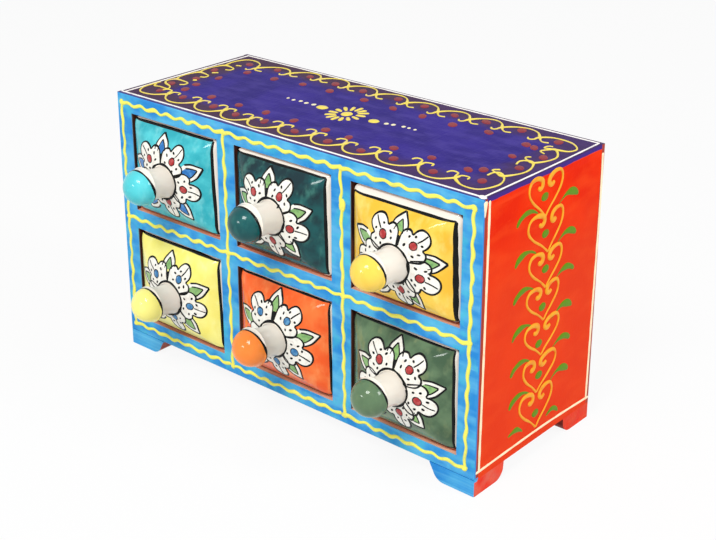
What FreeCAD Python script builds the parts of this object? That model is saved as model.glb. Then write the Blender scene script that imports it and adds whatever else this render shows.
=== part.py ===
import FreeCAD, Part
import math
import os

# Tabletop spice chest: a painted wooden case with six glazed ceramic drawers.
# Millimetres, +X to the right of the front, +Y to the back, +Z up.
# The origin is on the ground, under the middle of the whole chest with its knobs.

# Case
case_width = 250.0
case_depth = 102.0
frame_thickness = 3.0
back_thickness = 3.0
side_thickness = 10.0
divider_thickness = 10.0
floor_thickness = 11.0
top_thickness = 9.0
housing_depth = 3.0
edge_round = 0.8

# Front frame: what it shows of each window and covers of each board
window_height = 57.0
frame_lip = 1.25
floor_step = 1.0
columns = 3
rows = 2

# Corner feet
foot_height = 9.0
foot_length = 27.5
foot_slant = 2.5
foot_flat_length = 18.5
foot_depth = 24.5
foot_depth_slant = 0.5
foot_flat_depth = 17.5

# Ceramic drawer
drawer_side_clearance = 0.9
drawer_top_clearance = 1.0
drawer_floor_gap = 0.3
drawer_back_gap = 1.0
drawer_setback = 2.0
drawer_wall = 4.0
drawer_taper = 0.7
drawer_corner = 4.0
drawer_back_round = 3.0
drawer_rim_drop = 4.0
cut_past = 1.0
inner_corner = 4.0
inner_floor_round = 3.0

# Pillowed drawer face
pillow_depth = 11.5
pillow_dish_depth = 10.5
pillow_power = 1.6
pillow_oval = 0.75
pillow_steps = 8
pillow_cap = 0.2

# Knob: a flared neck that ends in a lip, and a ball. The neck points a little upward.
ball_reach = 25.0
neck_root_radius = 9.8
neck_waist_radius = 8.3
neck_root_depth = 3.0
neck_rise = 1.6
lip_overhang = 0.45
lip_height = 0.9

# Hand-made differences of the knobs, row by row from the lower left:
# the ball's radius, how far its tip stays back, and how far it sits above the middle of the face
knob_sizes = (
    ((9.7, 1.2, -2.1), (10.1, 0.0, -0.8), (9.7, 0.5, -0.4)),
    ((10.1, 0.7, -1.2), (9.9, 0.0, -0.2), (9.2, 0.0, -2.7)),
)

# Nails and pins
nail_diameter = 1.6
nail_head_diameter = 3.0
nail_head_height = 1.0
nail_point = 2.0
nail_length = 24.0
pin_diameter = 1.2
pin_head_diameter = 2.0
pin_length = 12.0
foot_nail_sink = 0.5
foot_nail_cover = 2.0
side_nail_count = 3
divider_nail_count = 2
shelf_nail_count = 2
side_pin_count = 3

# Worked out from the sizes above
knob_reach = pillow_depth - drawer_setback + ball_reach
front = knob_reach - (case_depth + knob_reach) / 2.0
back = front + case_depth
board_front = front + frame_thickness
board_back = back - back_thickness
board_middle = (board_front + board_back) / 2.0

base = foot_height
side_border = side_thickness + frame_lip
bar_width = divider_thickness + 2.0 * frame_lip
window_width = (case_width - 2.0 * side_border - (columns - 1) * bar_width) / columns
row_pitch = window_height + frame_lip + floor_thickness - floor_step
floors = [base + floor_thickness + row * row_pitch for row in range(rows)]
shelf_bottom = floors[1] - floor_thickness
ceiling = floors[-1] - floor_step + window_height + frame_lip
foot_nail_length = foot_height - foot_nail_sink + floor_thickness - foot_nail_cover
case_top = ceiling + top_thickness
half_width = case_width / 2.0
inner_half = half_width - side_thickness
window_pitch = window_width + bar_width
window_centres = [(column - (columns - 1) / 2.0) * window_pitch for column in range(columns)]
divider_centres = [(window_centres[i] + window_centres[i + 1]) / 2.0 for i in range(columns - 1)]

drawer_width = window_width - 2.0 * drawer_side_clearance
drawer_height = window_height - floor_step - drawer_floor_gap - drawer_top_clearance
drawer_front = front + drawer_setback
drawer_back = board_back - drawer_back_gap


def box(x0, x1, y0, y1, z0, z1):
    """A block between two opposite corners."""
    return Part.makeBox(x1 - x0, y1 - y0, z1 - z0, FreeCAD.Vector(x0, y0, z0))


def edges_where(shape, test):
    """The edges whose two ends and middle all pass the test."""
    chosen = []
    for edge in shape.Edges:
        middle = edge.valueAt((edge.FirstParameter + edge.LastParameter) / 2.0)
        points = [vertex.Point for vertex in edge.Vertexes] + [middle]
        if all(test(point) for point in points):
            chosen.append(edge)
    return chosen


def near(a, b):
    return abs(a - b) < 1e-6


def rounded_rectangle(xc, zc, y, width, height, radius):
    """A rounded rectangle in a plane that faces the front."""
    a = width / 2.0 - radius
    b = height / 2.0 - radius
    corners = [(a, b, 0.0), (-a, b, 90.0), (-a, -b, 180.0), (a, -b, 270.0)]
    arcs = []
    for dx, dz, start in corners:
        points = []
        for turn in (0.0, 45.0, 90.0):
            angle = math.radians(start + turn)
            x = xc + dx + radius * math.cos(angle)
            z = zc + dz + radius * math.sin(angle)
            points.append(FreeCAD.Vector(x, y, z))
        arcs.append(points)
    edges = []
    for i, points in enumerate(arcs):
        edges.append(Part.Arc(*points).toShape())
        edges.append(Part.LineSegment(points[2], arcs[(i + 1) % 4][0]).toShape())
    return Part.Wire(edges)


def pillow(xc, zc, y, width, height, corner, depth):
    """A cushion-shaped dome that swells forward from a rounded rectangle at y.

    Its contours shrink as the cosine and rise as a power of the sine of one angle,
    and turn from the rectangle's outline into an oval on the way.
    """
    sections = []
    last = math.acos(pillow_cap)
    for step in range(pillow_steps + 1):
        angle = last * step / pillow_steps
        scale = math.cos(angle)
        half = height * scale / 2.0
        roundness = 2.0 * corner / height + pillow_oval * (1.0 - scale)
        forward = depth * math.sin(angle) ** pillow_power
        section = rounded_rectangle(xc, zc, y - forward, width * scale, height * scale, half * roundness)
        sections.append(section)
    return Part.makeLoft(sections, True, False)


def knob(xc, zc, ball_radius, tip_setback):
    """Neck and ball, turned about an axis that points forward and a little upward."""
    apex = drawer_front - pillow_depth
    root = apex + neck_root_depth
    run = neck_root_depth + ball_reach - tip_setback - ball_radius
    ball_centre = root - math.hypot(run, neck_rise)
    lip_radius = ball_radius + lip_overhang
    lip_front = ball_centre - lip_height / 2.0
    lip_back = ball_centre + lip_height / 2.0
    seat_radius = math.sqrt(ball_radius ** 2 - (lip_height / 2.0) ** 2)
    waist = (apex + lip_back) / 2.0

    def at(radius, y):
        return FreeCAD.Vector(radius, y, 0.0)

    slope = math.radians(45.0)
    shoulder = at(ball_radius * math.cos(slope), ball_centre - ball_radius * math.sin(slope))
    edges = [
        Part.LineSegment(at(0.0, root), at(neck_root_radius, root)).toShape(),
        Part.Arc(at(neck_root_radius, root), at(neck_waist_radius, waist), at(lip_radius, lip_back)).toShape(),
        Part.LineSegment(at(lip_radius, lip_back), at(seat_radius, lip_front)).toShape(),
        Part.Arc(at(seat_radius, lip_front), shoulder, at(0.0, ball_centre - ball_radius)).toShape(),
        Part.LineSegment(at(0.0, ball_centre - ball_radius), at(0.0, root)).toShape(),
    ]
    profile = Part.Face(Part.Wire(edges))
    turned = profile.revolve(FreeCAD.Vector(0, 0, 0), FreeCAD.Vector(0, 1, 0), 360.0)
    pitch = math.degrees(math.atan2(neck_rise, run))
    turned.rotate(FreeCAD.Vector(0.0, root, 0.0), FreeCAD.Vector(1, 0, 0), -pitch)
    turned.translate(FreeCAD.Vector(xc, 0.0, zc))
    return turned


def drawer(xc, floor, knob_size):
    """One glazed casting: an open tray, its hollow pillowed face and its knob."""
    ball_radius, tip_setback, lift = knob_size
    bottom = floor + drawer_floor_gap
    zc = bottom + drawer_height / 2.0
    narrow = drawer_width - 2.0 * drawer_taper
    tray = Part.makeLoft([
        rounded_rectangle(xc, zc, drawer_front, drawer_width, drawer_height, drawer_corner),
        rounded_rectangle(xc, zc, drawer_back, narrow, drawer_height, drawer_corner),
    ], True, True)
    tray = tray.makeFillet(drawer_back_round, edges_where(tray, lambda p: near(p.y, drawer_back)))

    inner_front = drawer_front + drawer_wall
    inner_back = drawer_back - drawer_wall
    inner_half_width = narrow / 2.0 - drawer_wall
    inner_floor = bottom + drawer_wall
    top = bottom + drawer_height
    hollow = box(xc - inner_half_width, xc + inner_half_width, inner_front, inner_back, inner_floor, top + cut_past)
    upright = [e for e in hollow.Edges if near(e.Vertexes[0].X, e.Vertexes[1].X)
               and near(e.Vertexes[0].Y, e.Vertexes[1].Y)]
    hollow = hollow.makeFillet(inner_corner, upright)
    hollow = hollow.makeFillet(inner_floor_round, edges_where(hollow, lambda p: near(p.z, inner_floor)))

    face = pillow(xc, zc, drawer_front, drawer_width, drawer_height, drawer_corner, pillow_depth)
    dish = pillow(xc, zc, inner_front, 2.0 * inner_half_width, drawer_height - 2.0 * drawer_wall,
                  drawer_corner, pillow_dish_depth)
    rim = box(xc - drawer_width, xc + drawer_width, inner_front, back, top - drawer_rim_drop, top + cut_past)
    solid = tray.fuse([face, knob(xc, zc + lift, ball_radius, tip_setback)])
    solid = solid.cut([hollow, dish, rim])
    return solid.removeSplitter()


def corner_foot(side, end):
    """A solid block under one corner, scroll-cut on both of its inner sides."""

    def profile(length, slant, flat):
        """A slanted edge and an arc that runs out level at the foot's flat bottom."""
        knee = (length - slant, -foot_height / 2.0)
        toe = (flat, -foot_height)
        reach = knee[0] - toe[0]
        radius = (reach ** 2 + (foot_height / 2.0) ** 2) / foot_height
        start = math.atan2(foot_height / 2.0 - radius, reach)
        middle = (start - math.pi / 2.0) / 2.0
        bend = (flat + radius * math.cos(middle), radius - foot_height + radius * math.sin(middle))
        return knee, bend, toe

    def prism(place, sweep, length, slant, flat):
        knee, bend, toe = profile(length, slant, flat)
        edges = [
            Part.LineSegment(place(0.0, 0.0), place(length, 0.0)).toShape(),
            Part.LineSegment(place(length, 0.0), place(*knee)).toShape(),
            Part.Arc(place(*knee), place(*bend), place(*toe)).toShape(),
            Part.LineSegment(place(*toe), place(0.0, -foot_height)).toShape(),
            Part.LineSegment(place(0.0, -foot_height), place(0.0, 0.0)).toShape(),
        ]
        return Part.Face(Part.Wire(edges)).extrude(sweep)

    outer_x = side * half_width
    outer_y = front if end < 0 else back
    along = prism(lambda a, z: FreeCAD.Vector(outer_x - side * a, outer_y, base + z),
                  FreeCAD.Vector(0.0, -end * foot_depth, 0.0), foot_length, foot_slant, foot_flat_length)
    across = prism(lambda a, z: FreeCAD.Vector(outer_x, outer_y - end * a, base + z),
                   FreeCAD.Vector(-side * foot_length, 0.0, 0.0), foot_depth, foot_depth_slant, foot_flat_depth)
    block = along.common(across)
    corner = edges_where(block, lambda p: near(p.x, outer_x) and near(p.y, outer_y))
    return block.makeFillet(edge_round, corner)


def front_frame():
    board = box(-half_width, half_width, front, board_front, base, case_top)
    board = board.makeFillet(edge_round, edges_where(board, lambda p: near(p.y, front)))
    windows = []
    for xc in window_centres:
        for floor in floors:
            z0 = floor - floor_step
            windows.append(box(xc - window_width / 2.0, xc + window_width / 2.0, front, board_front,
                               z0, z0 + window_height))
    return board.cut(windows)


def back_panel():
    board = box(-half_width, half_width, board_back, back, base, case_top)
    return board.makeFillet(edge_round, edges_where(board, lambda p: near(p.y, back)))


def top_panel():
    board = box(-half_width, half_width, board_front, board_back, ceiling, case_top)
    top_ends = edges_where(board, lambda p: near(abs(p.x), half_width) and near(p.z, case_top))
    board = board.makeFillet(edge_round, top_ends)
    rebates = [box(x0, x0 + side_thickness, board_front, board_back, ceiling, ceiling + housing_depth)
               for x0 in (-half_width, inner_half)]
    return board.cut(rebates + divider_grooves(ceiling, ceiling + housing_depth))


def divider_grooves(z0, z1):
    half = divider_thickness / 2.0
    return [box(xc - half, xc + half, board_front, board_back, z0, z1) for xc in divider_centres]


def side_panel(side):
    top = ceiling + housing_depth
    outer = side * half_width
    inner = side * inner_half
    deep = side * (inner_half + housing_depth)
    board = box(min(outer, inner), max(outer, inner), board_front, board_back, base, top)
    rebate = box(min(inner, deep), max(inner, deep), board_front, board_back, base, floors[0])
    groove = box(min(inner, deep), max(inner, deep), board_front, board_back, shelf_bottom, floors[1])
    return board.cut([rebate, groove])


def floor_board(z0, z1):
    """A board whose ends are housed in both sides."""
    reach = inner_half + housing_depth
    return box(-reach, reach, board_front, board_back, z0, z1)


def bottom_panel():
    board = floor_board(base, floors[0])
    return board.cut(divider_grooves(floors[0] - housing_depth, floors[0]))


def shelf():
    """Its back half is slotted, so that each divider drops over it."""
    half = divider_thickness / 2.0
    slots = [box(xc - half, xc + half, board_middle, board_back, shelf_bottom, floors[1])
             for xc in divider_centres]
    return floor_board(shelf_bottom, floors[1]).cut(slots)


def divider(xc):
    """Its front half is slotted where the shelf passes through it."""
    half = divider_thickness / 2.0
    board = box(xc - half, xc + half, board_front, board_back,
                floors[0] - housing_depth, ceiling + housing_depth)
    slot = box(xc - half, xc + half, board_front, board_middle, shelf_bottom, floors[1])
    return board.cut(slot)


def fastener(point, direction, length, diameter, head_diameter):
    """A nail with a flat countersunk head. The point is where its head lies."""

    def at(radius, depth):
        return FreeCAD.Vector(radius, 0.0, -depth)

    corners = [
        at(0.0, 0.0), at(head_diameter / 2.0, 0.0), at(diameter / 2.0, nail_head_height),
        at(diameter / 2.0, length - nail_point), at(0.0, length), at(0.0, 0.0),
    ]
    solid = Part.Face(Part.makePolygon(corners)).revolve(
        FreeCAD.Vector(0, 0, 0), FreeCAD.Vector(0, 0, 1), 360.0)
    turn = FreeCAD.Rotation(FreeCAD.Vector(0, 0, -1), FreeCAD.Vector(*direction))
    solid.Placement = FreeCAD.Placement(FreeCAD.Vector(*point), turn)
    return solid


def nail(point, direction):
    return fastener(point, direction, nail_length, nail_diameter, nail_head_diameter)


def pin(point, direction):
    return fastener(point, direction, pin_length, pin_diameter, pin_head_diameter)


def spread(start, end, count):
    """Evenly spaced places, with half a space left at each end."""
    step = (end - start) / count
    return [start + step * (i + 0.5) for i in range(count)]


def top_nails():
    down = (0, 0, -1)
    side_middle = half_width - side_thickness / 2.0
    nails = [nail((x, y, case_top), down) for x in (-side_middle, side_middle)
             for y in spread(board_front, board_back, side_nail_count)]
    nails += [nail((x, y, case_top), down) for x in divider_centres
              for y in spread(board_front, board_back, divider_nail_count)]
    return nails


def side_nails():
    nails = []
    rows_of_nails = (
        (base + floor_thickness / 2.0, side_nail_count),
        (floors[1] - floor_thickness / 2.0, shelf_nail_count),
    )
    for side in (-1, 1):
        for z, count in rows_of_nails:
            for y in spread(board_front, board_back, count):
                nails.append(nail((side * half_width, y, z), (-side, 0, 0)))
    return nails


def pin_places():
    """Pins of the frame and of the back: along the sides, the bottom and the top."""
    side_middle = half_width - side_thickness / 2.0
    places = [(x, z) for x in (-side_middle, side_middle) for z in spread(base, case_top, side_pin_count)]
    places += [(x, base + floor_thickness / 2.0) for x in divider_centres]
    places += [(x, case_top - top_thickness / 2.0) for x in (window_centres[0], window_centres[-1])]
    return places


def frame_pins():
    return [pin((x, front, z), (0, 1, 0)) for x, z in pin_places()]


def back_pins():
    return [pin((x, back, z), (0, -1, 0)) for x, z in pin_places()]


def foot_nails():
    """Two in each foot, driven up into the side and into the bottom, short of its top."""
    nails = []
    y_offset = foot_flat_depth / 2.0
    for side in (-1, 1):
        for end_y, end in ((front, -1), (back, 1)):
            for x_offset in (side_thickness / 2.0, foot_flat_length - nail_head_diameter):
                y = end_y - end * y_offset
                point = (side * (half_width - x_offset), y, foot_nail_sink)
                nails.append(fastener(point, (0, 0, 1), foot_nail_length, nail_diameter, nail_head_diameter))
    return nails


def drilled(board, fasteners):
    """The board with a hole for each fastener that enters it."""
    return board.cut(fasteners)


groups = {
    "top_nails": top_nails(),
    "side_nails": side_nails(),
    "frame_pins": frame_pins(),
    "back_pins": back_pins(),
    "foot_nails": foot_nails(),
}
every_fastener = [solid for group in groups.values() for solid in group]

boards = {
    "front_frame": front_frame(),
    "back_panel": back_panel(),
    "top_panel": top_panel(),
    "bottom_panel": bottom_panel(),
    "left_side_panel": side_panel(-1),
    "right_side_panel": side_panel(1),
    "shelf": shelf(),
    "left_divider": divider(divider_centres[0]),
    "right_divider": divider(divider_centres[-1]),
}
for end_name, end in (("front", -1), ("back", 1)):
    for side_name, side in (("left", -1), ("right", 1)):
        boards[f"{end_name}_{side_name}_foot"] = corner_foot(side, end)

foot_sinks = [Part.makeCylinder(nail_head_diameter / 2.0, foot_nail_sink,
                                FreeCAD.Vector(solid.BoundBox.Center.x, solid.BoundBox.Center.y, 0.0))
              for solid in groups["foot_nails"]]
pieces = {name: drilled(board, every_fastener + foot_sinks) for name, board in boards.items()}
for name, group in groups.items():
    pieces[name] = Part.makeCompound(group)
for row_name, floor, row_knobs in zip(("lower", "upper"), floors, knob_sizes):
    for column_name, xc, knob_size in zip(("left", "middle", "right"), window_centres, row_knobs):
        pieces[f"{row_name}_{column_name}_drawer"] = drawer(xc, floor, knob_size)

os.makedirs("parts", exist_ok=True)
for name, shape in pieces.items():
    shape.exportStep(f"parts/{name}.step")
    print(name, "solids", len(shape.Solids), "valid", shape.isValid(), "volume", round(shape.Volume))
print("overall", round(case_width, 2), round(back - front + knob_reach, 2), round(case_top, 2))
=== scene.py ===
import math
import random

import bmesh
import bpy
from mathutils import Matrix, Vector
from mathutils.bvhtree import BVHTree


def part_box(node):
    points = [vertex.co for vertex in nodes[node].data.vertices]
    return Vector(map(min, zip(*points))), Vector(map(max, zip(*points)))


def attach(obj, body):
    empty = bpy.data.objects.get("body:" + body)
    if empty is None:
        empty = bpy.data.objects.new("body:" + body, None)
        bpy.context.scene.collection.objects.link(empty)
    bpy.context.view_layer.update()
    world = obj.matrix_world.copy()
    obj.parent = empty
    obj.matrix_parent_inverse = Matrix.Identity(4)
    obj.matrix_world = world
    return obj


# Looks of a painted wooden spice chest with six glazed ceramic drawers.
# Sizes are in millimetres here and become metres where a mesh or a light is made.
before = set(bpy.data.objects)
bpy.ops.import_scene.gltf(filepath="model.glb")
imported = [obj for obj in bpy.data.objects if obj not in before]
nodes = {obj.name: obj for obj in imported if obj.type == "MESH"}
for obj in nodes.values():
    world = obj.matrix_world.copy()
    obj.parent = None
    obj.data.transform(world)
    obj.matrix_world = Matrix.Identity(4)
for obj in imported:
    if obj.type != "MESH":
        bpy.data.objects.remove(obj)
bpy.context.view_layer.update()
MM = 0.001


def span(node):
    """Lowest and highest corner of a CAD node, in millimetres."""
    low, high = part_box(node)
    return low / MM, high / MM


def face_of(drawer):
    """The x and z of the middle of a drawer's face, and half its width and height."""
    low, high = span(drawer)
    return (low.x + high.x) / 2.0, (low.z + high.z) / 2.0, (high.x - low.x) / 2.0, (high.z - low.z) / 2.0


# Places read from the frame
frame_low, frame_high = span("front_frame")
left, front, base = frame_low
right, top = frame_high.x, frame_high.z
back = span("back_panel")[1].y
columns = ("left", "middle", "right")
drawer_names = [f"{row}_{column}_drawer" for row in ("upper", "lower") for column in columns]

# Sizes of the drawers that the frame's boxes don't tell
neck_root_radius = 9.8
neck_rise = 1.6
face_start = front - 14.0

# Camera, fitted to the corners of the case in the photograph
photo_width = 716
photo_focal = 1401.0
photo_shift = 80.0
camera_place = (460.5, -507.7, 382.6)
camera_turn = 40.82
camera_tilt = 21.12


def show(thing):
    bpy.context.scene.collection.objects.link(thing)


def make_camera():
    data = bpy.data.cameras.new("camera")
    data.sensor_width = 36.0
    data.lens = photo_focal / photo_width * data.sensor_width
    data.shift_y = -photo_shift / photo_width
    data.clip_start = 0.01
    data.clip_end = 20.0
    camera = bpy.data.objects.new("camera", data)
    camera.location = [value * MM for value in camera_place]
    camera.rotation_euler = (math.radians(90.0 - camera_tilt), 0.0, math.radians(camera_turn))
    show(camera)
    bpy.context.scene.camera = camera


# Colours and materials
def linear(red, green, blue):
    """A colour given as it looks on a screen, from 0 to 255."""
    channels = []
    for value in (red, green, blue):
        value /= 255.0
        channels.append(value / 12.92 if value <= 0.04045 else ((value + 0.055) / 1.055) ** 2.4)
    return (*channels, 1.0)


class Graph:
    """The nodes of one material, over places in millimetres."""

    def __init__(self, name, roughness, specular, coat=0.0):
        self.material = bpy.data.materials.new(name)
        self.material.use_nodes = True
        self.tree = self.material.node_tree
        self.shader = self.tree.nodes["Principled BSDF"]
        settings = {"Roughness": roughness, "Specular IOR Level": specular, "Coat Weight": coat,
                    "Coat Roughness": 0.05}
        for label, value in settings.items():
            self.shader.inputs[label].default_value = value
        coordinates = self.add("ShaderNodeTexCoord")
        self.place = self.vector("SCALE", coordinates.outputs["Object"], Scale=1.0 / MM)
        self.x, self.y, self.z = self.split(self.place)
        self.facing = self.split(coordinates.outputs["Normal"])

    def add(self, kind, **settings):
        node = self.tree.nodes.new(kind)
        for key, value in settings.items():
            setattr(node, key, value)
        return node

    def feed(self, socket, value):
        """Links an output to the socket, or sets the socket to a plain value."""
        if isinstance(value, bpy.types.NodeSocket):
            self.tree.links.new(value, socket)
        else:
            socket.default_value = value

    def vector(self, operation, *values, **named):
        node = self.add("ShaderNodeVectorMath", operation=operation)
        for socket, value in zip(node.inputs, values):
            self.feed(socket, value)
        for name, value in named.items():
            self.feed(node.inputs[name], value)
        return node.outputs["Value" if operation in ("LENGTH", "DOT_PRODUCT") else "Vector"]

    def split(self, value):
        node = self.add("ShaderNodeSeparateXYZ")
        self.feed(node.inputs[0], value)
        return node.outputs

    def join(self, x, y, z):
        node = self.add("ShaderNodeCombineXYZ")
        for socket, value in zip(node.inputs, (x, y, z)):
            self.feed(socket, value)
        return node.outputs[0]

    def math(self, operation, *values):
        node = self.add("ShaderNodeMath", operation=operation)
        for socket, value in zip(node.inputs, values):
            self.feed(socket, value)
        return node.outputs[0]

    def times(self, *values):
        product = values[0]
        for value in values[1:]:
            product = self.math("MULTIPLY", product, value)
        return product

    def above(self, value, low, high):
        """0 below low, 1 above high and smooth between them."""
        node = self.add("ShaderNodeMapRange", interpolation_type="SMOOTHSTEP")
        for name, number in (("Value", value), ("From Min", low), ("From Max", high)):
            self.feed(node.inputs[name], number)
        return node.outputs["Result"]

    def below(self, value, low, high):
        return self.math("SUBTRACT", 1.0, self.above(value, low, high))

    def within(self, value, low, high, soft):
        """1 between low and high, and 0 outside them."""
        above_low = self.above(value, low - soft, low + soft)
        return self.times(above_low, self.below(value, high - soft, high + soft))

    def beside(self, low, high):
        """1 at the chest's outer sides, and 0 from the given depths under them."""
        return self.above(self.math("ABSOLUTE", self.x), right - low, right - high)

    def noise(self, size, detail=3.0, shift=0.0):
        """Cloudy values round 0.5 with features of the given size, or of a size for each axis."""
        sizes = [size] * 3 if isinstance(size, float) else size
        scaled = self.vector("MULTIPLY", self.place, [1.0 / value for value in sizes])
        moved = self.vector("ADD", scaled, (shift, shift, shift))
        node = self.add("ShaderNodeTexNoise")
        self.feed(node.inputs["Vector"], moved)
        node.inputs["Scale"].default_value = 1.0
        node.inputs["Detail"].default_value = detail
        return node.outputs["Fac"]

    def blend(self, factor, first, second):
        """A mix of two colours, each of them an output or a colour as it looks on a screen."""
        node = self.add("ShaderNodeMix", data_type="RGBA")
        self.feed(node.inputs["Factor"], factor)
        sockets = [socket for socket in node.inputs if socket.type == "RGBA"]
        for socket, colour in zip(sockets, (first, second)):
            self.feed(socket, linear(*colour) if isinstance(colour, tuple) else colour)
        return [socket for socket in node.outputs if socket.type == "RGBA"][0]

    def colour(self, value):
        self.feed(self.shader.inputs["Base Color"], value)

    def relief(self, value, depth):
        """Bumps of the given depth in millimetres."""
        node = self.add("ShaderNodeBump")
        node.inputs["Distance"].default_value = depth * MM
        self.feed(node.inputs["Height"], value)
        self.feed(self.shader.inputs["Normal"], node.outputs["Normal"])


def brushed(graph, colour, deep, pale, grain, patch=28.0):
    """A hand-painted colour: cloudy patches, brush streaks along the grain and small pale rubs."""
    clouds = graph.above(graph.noise(patch), 0.35, 0.68)
    streaks = graph.above(graph.noise(grain, 4.0, 7.0), 0.4, 0.72)
    rubs = graph.above(graph.noise([value * 0.4 for value in grain], 5.0, 21.0), 0.66, 0.78)
    shade = graph.blend(clouds, deep, colour)
    shade = graph.blend(graph.times(streaks, 0.45), shade, pale)
    shade = graph.blend(graph.times(rubs, 0.35), shade, pale)
    graph.relief(graph.math("ADD", graph.noise(grain, 4.0, 3.0), graph.noise(1.5, 2.0)), 0.12)
    return shade


def wood_colour(graph, grain, pale, dark):
    """Raw wood with streaks along its grain and finer, darker pores."""
    streaks = graph.above(graph.noise(grain, 5.0, 2.0), 0.3, 0.7)
    pores = graph.above(graph.noise([value * 0.3 for value in grain], 3.0, 9.0), 0.58, 0.75)
    shade = graph.blend(streaks, dark, pale)
    return graph.blend(graph.times(pores, 0.5), shade, dark)


raw_pale = (196, 118, 84)
raw_dark = (122, 62, 42)
# Lighter copy of the raw wood for the window sills as painted light, and darker copy for the window side
# walls as painted shade
painted_light_sill_pale = (250, 190, 160)
painted_light_sill_dark = (212, 132, 104)
painted_shade_reveal_pale = (112, 62, 46)
painted_shade_reveal_dark = (56, 30, 28)
blue = (78, 174, 224)
blue_deep = (40, 136, 212)
blue_pale = (120, 204, 238)
blue_cyan = (70, 192, 214)
violet = (52, 38, 134)
violet_deep = (42, 30, 116)
violet_pale = (78, 66, 150)
red = (242, 50, 2)
red_deep = (230, 36, 2)
red_pale = (246, 78, 24)
along_x = (60.0, 2.0, 2.0)
along_y = (2.0, 60.0, 2.0)
along_z = (2.0, 2.0, 60.0)


def blue_material():
    """Blue front. Its cut edges are raw wood with a pale rim, which is partly worn paint and partly a painted
    highlight on the arris; their sills that face up are painted lighter as painted light, and their side
    walls darker as painted shade. Its outer edges take the sides' colours.
    """
    graph = Graph("blue_paint", 0.42, 0.1)
    painted = brushed(graph, blue, blue_deep, blue_pale, (24.0, 5.0, 5.0), 14.0)
    blotches = graph.above(graph.noise(8.0, 4.0, 31.0), 0.5, 0.7)
    painted = graph.blend(graph.times(blotches, 0.55), painted, blue_cyan)
    raw = wood_colour(graph, along_x, raw_pale, raw_dark)
    # Painted light: a lighter wood on the sills that face up. Painted shade: a darker wood on the side walls
    # of the windows.
    painted_light_sill = wood_colour(graph, along_x, painted_light_sill_pale, painted_light_sill_dark)
    painted_shade_reveal = wood_colour(graph, (3.0, 3.0, 20.0), painted_shade_reveal_pale, painted_shade_reveal_dark)
    raw = graph.blend(graph.above(graph.facing[2], 0.6, 0.8), raw, painted_light_sill)
    raw = graph.blend(graph.above(graph.math("ABSOLUTE", graph.facing[0]), 0.6, 0.8), raw, painted_shade_reveal)
    # Thin pale rim along the front arris of the cut edges: partly worn pale paint, partly a painted highlight
    # on the arris
    raw = graph.blend(graph.below(graph.y, front + 0.25, front + 0.6), raw, (150, 196, 226))
    side = graph.blend(graph.noise((2.0, 2.0, 12.0)), (128, 52, 36), (196, 60, 30))
    fringe = graph.below(graph.y, front + 0.8, front + 1.3)
    side = graph.blend(fringe, side, blue_deep)
    outer = graph.beside(0.3, 0.1)
    upper = graph.above(graph.z, top - 0.3, top - 0.1)
    edge = graph.blend(outer, raw, side)
    edge = graph.blend(upper, edge, (44, 44, 120))
    ahead = graph.below(graph.facing[1], -0.72, -0.5)
    lowest = graph.below(graph.z, base + 0.8, base + 1.2)
    graph.colour(graph.blend(graph.math("MAXIMUM", ahead, lowest), edge, painted))
    return graph.material


def top_material():
    """Violet top with a brown band along its border, and red at both ends."""
    graph = Graph("violet_paint", 0.5, 0.04)
    painted = brushed(graph, violet, violet_deep, violet_pale, (14.0, 7.0, 14.0), 24.0)
    across = graph.math("SUBTRACT", right - 2.0, graph.math("ABSOLUTE", graph.x))
    ahead = graph.math("SUBTRACT", graph.y, front)
    behind = graph.math("SUBTRACT", back, graph.y)
    border = graph.math("MINIMUM", across, graph.math("MINIMUM", ahead, behind))
    ragged = graph.math("ADD", border, graph.times(graph.noise(7.0, 4.0), 12.0))
    band = graph.below(ragged, 18.0, 29.0)
    browned = graph.blend(graph.noise(5.0, 4.0, 5.0), (54, 36, 46), (84, 54, 62))
    fade = graph.below(graph.x, -60.0, 150.0)
    strength = graph.math("ADD", graph.times(fade, 0.3), 0.55)
    shade = graph.blend(graph.times(band, strength), painted, browned)
    red_end = brushed(graph, red, red_deep, red_pale, along_y)
    overlap = graph.math("ADD", graph.z, graph.times(graph.noise((4.0, 9.0, 4.0)), 1.4))
    ends = graph.blend(graph.above(overlap, top - 1.7, top - 1.3), red_end, (66, 44, 130))
    above = graph.above(graph.facing[2], 0.5, 0.8)
    end = graph.above(graph.math("ABSOLUTE", graph.facing[0]), 0.3, 0.6)
    raw = wood_colour(graph, along_x, raw_pale, raw_dark)
    rest = graph.blend(end, raw, ends)
    graph.colour(graph.blend(above, rest, shade))
    return graph.material


def red_material():
    """Red sides, deeper in colour towards the top."""
    graph = Graph("red_paint", 0.4, 0.02)
    painted = brushed(graph, red, red_deep, red_pale, (9.0, 22.0, 9.0), 30.0)
    uneven = graph.math("ADD", graph.z, graph.times(graph.noise(40.0), 40.0))
    high = graph.above(uneven, 110.0, 165.0)
    low = graph.blend(0.5, painted, (226, 76, 36))
    painted = graph.blend(high, low, painted)
    raw = wood_colour(graph, along_y, raw_pale, raw_dark)
    outside = graph.beside(0.6, 0.3)
    graph.colour(graph.blend(outside, raw, painted))
    return graph.material


def back_material():
    """Plain brown back; its outer edges carry the paint of the sides and of the top."""
    graph = Graph("back_paint", 0.5, 0.2)
    painted = brushed(graph, (116, 58, 40), (96, 44, 32), (142, 80, 56), along_x)
    outer = graph.beside(0.3, 0.1)
    upper = graph.above(graph.z, top - 0.3, top - 0.1)
    side = graph.blend(graph.noise((2.0, 2.0, 12.0)), (120, 46, 34), (206, 62, 30))
    shade = graph.blend(outer, painted, side)
    graph.colour(graph.blend(upper, shade, (70, 44, 84)))
    return graph.material


def wood_material(name, grain):
    graph = Graph(name, 0.65, 0.15)
    graph.colour(wood_colour(graph, grain, raw_pale, raw_dark))
    graph.relief(graph.noise([value * 0.5 for value in grain], 5.0), 0.15)
    return graph.material


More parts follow.
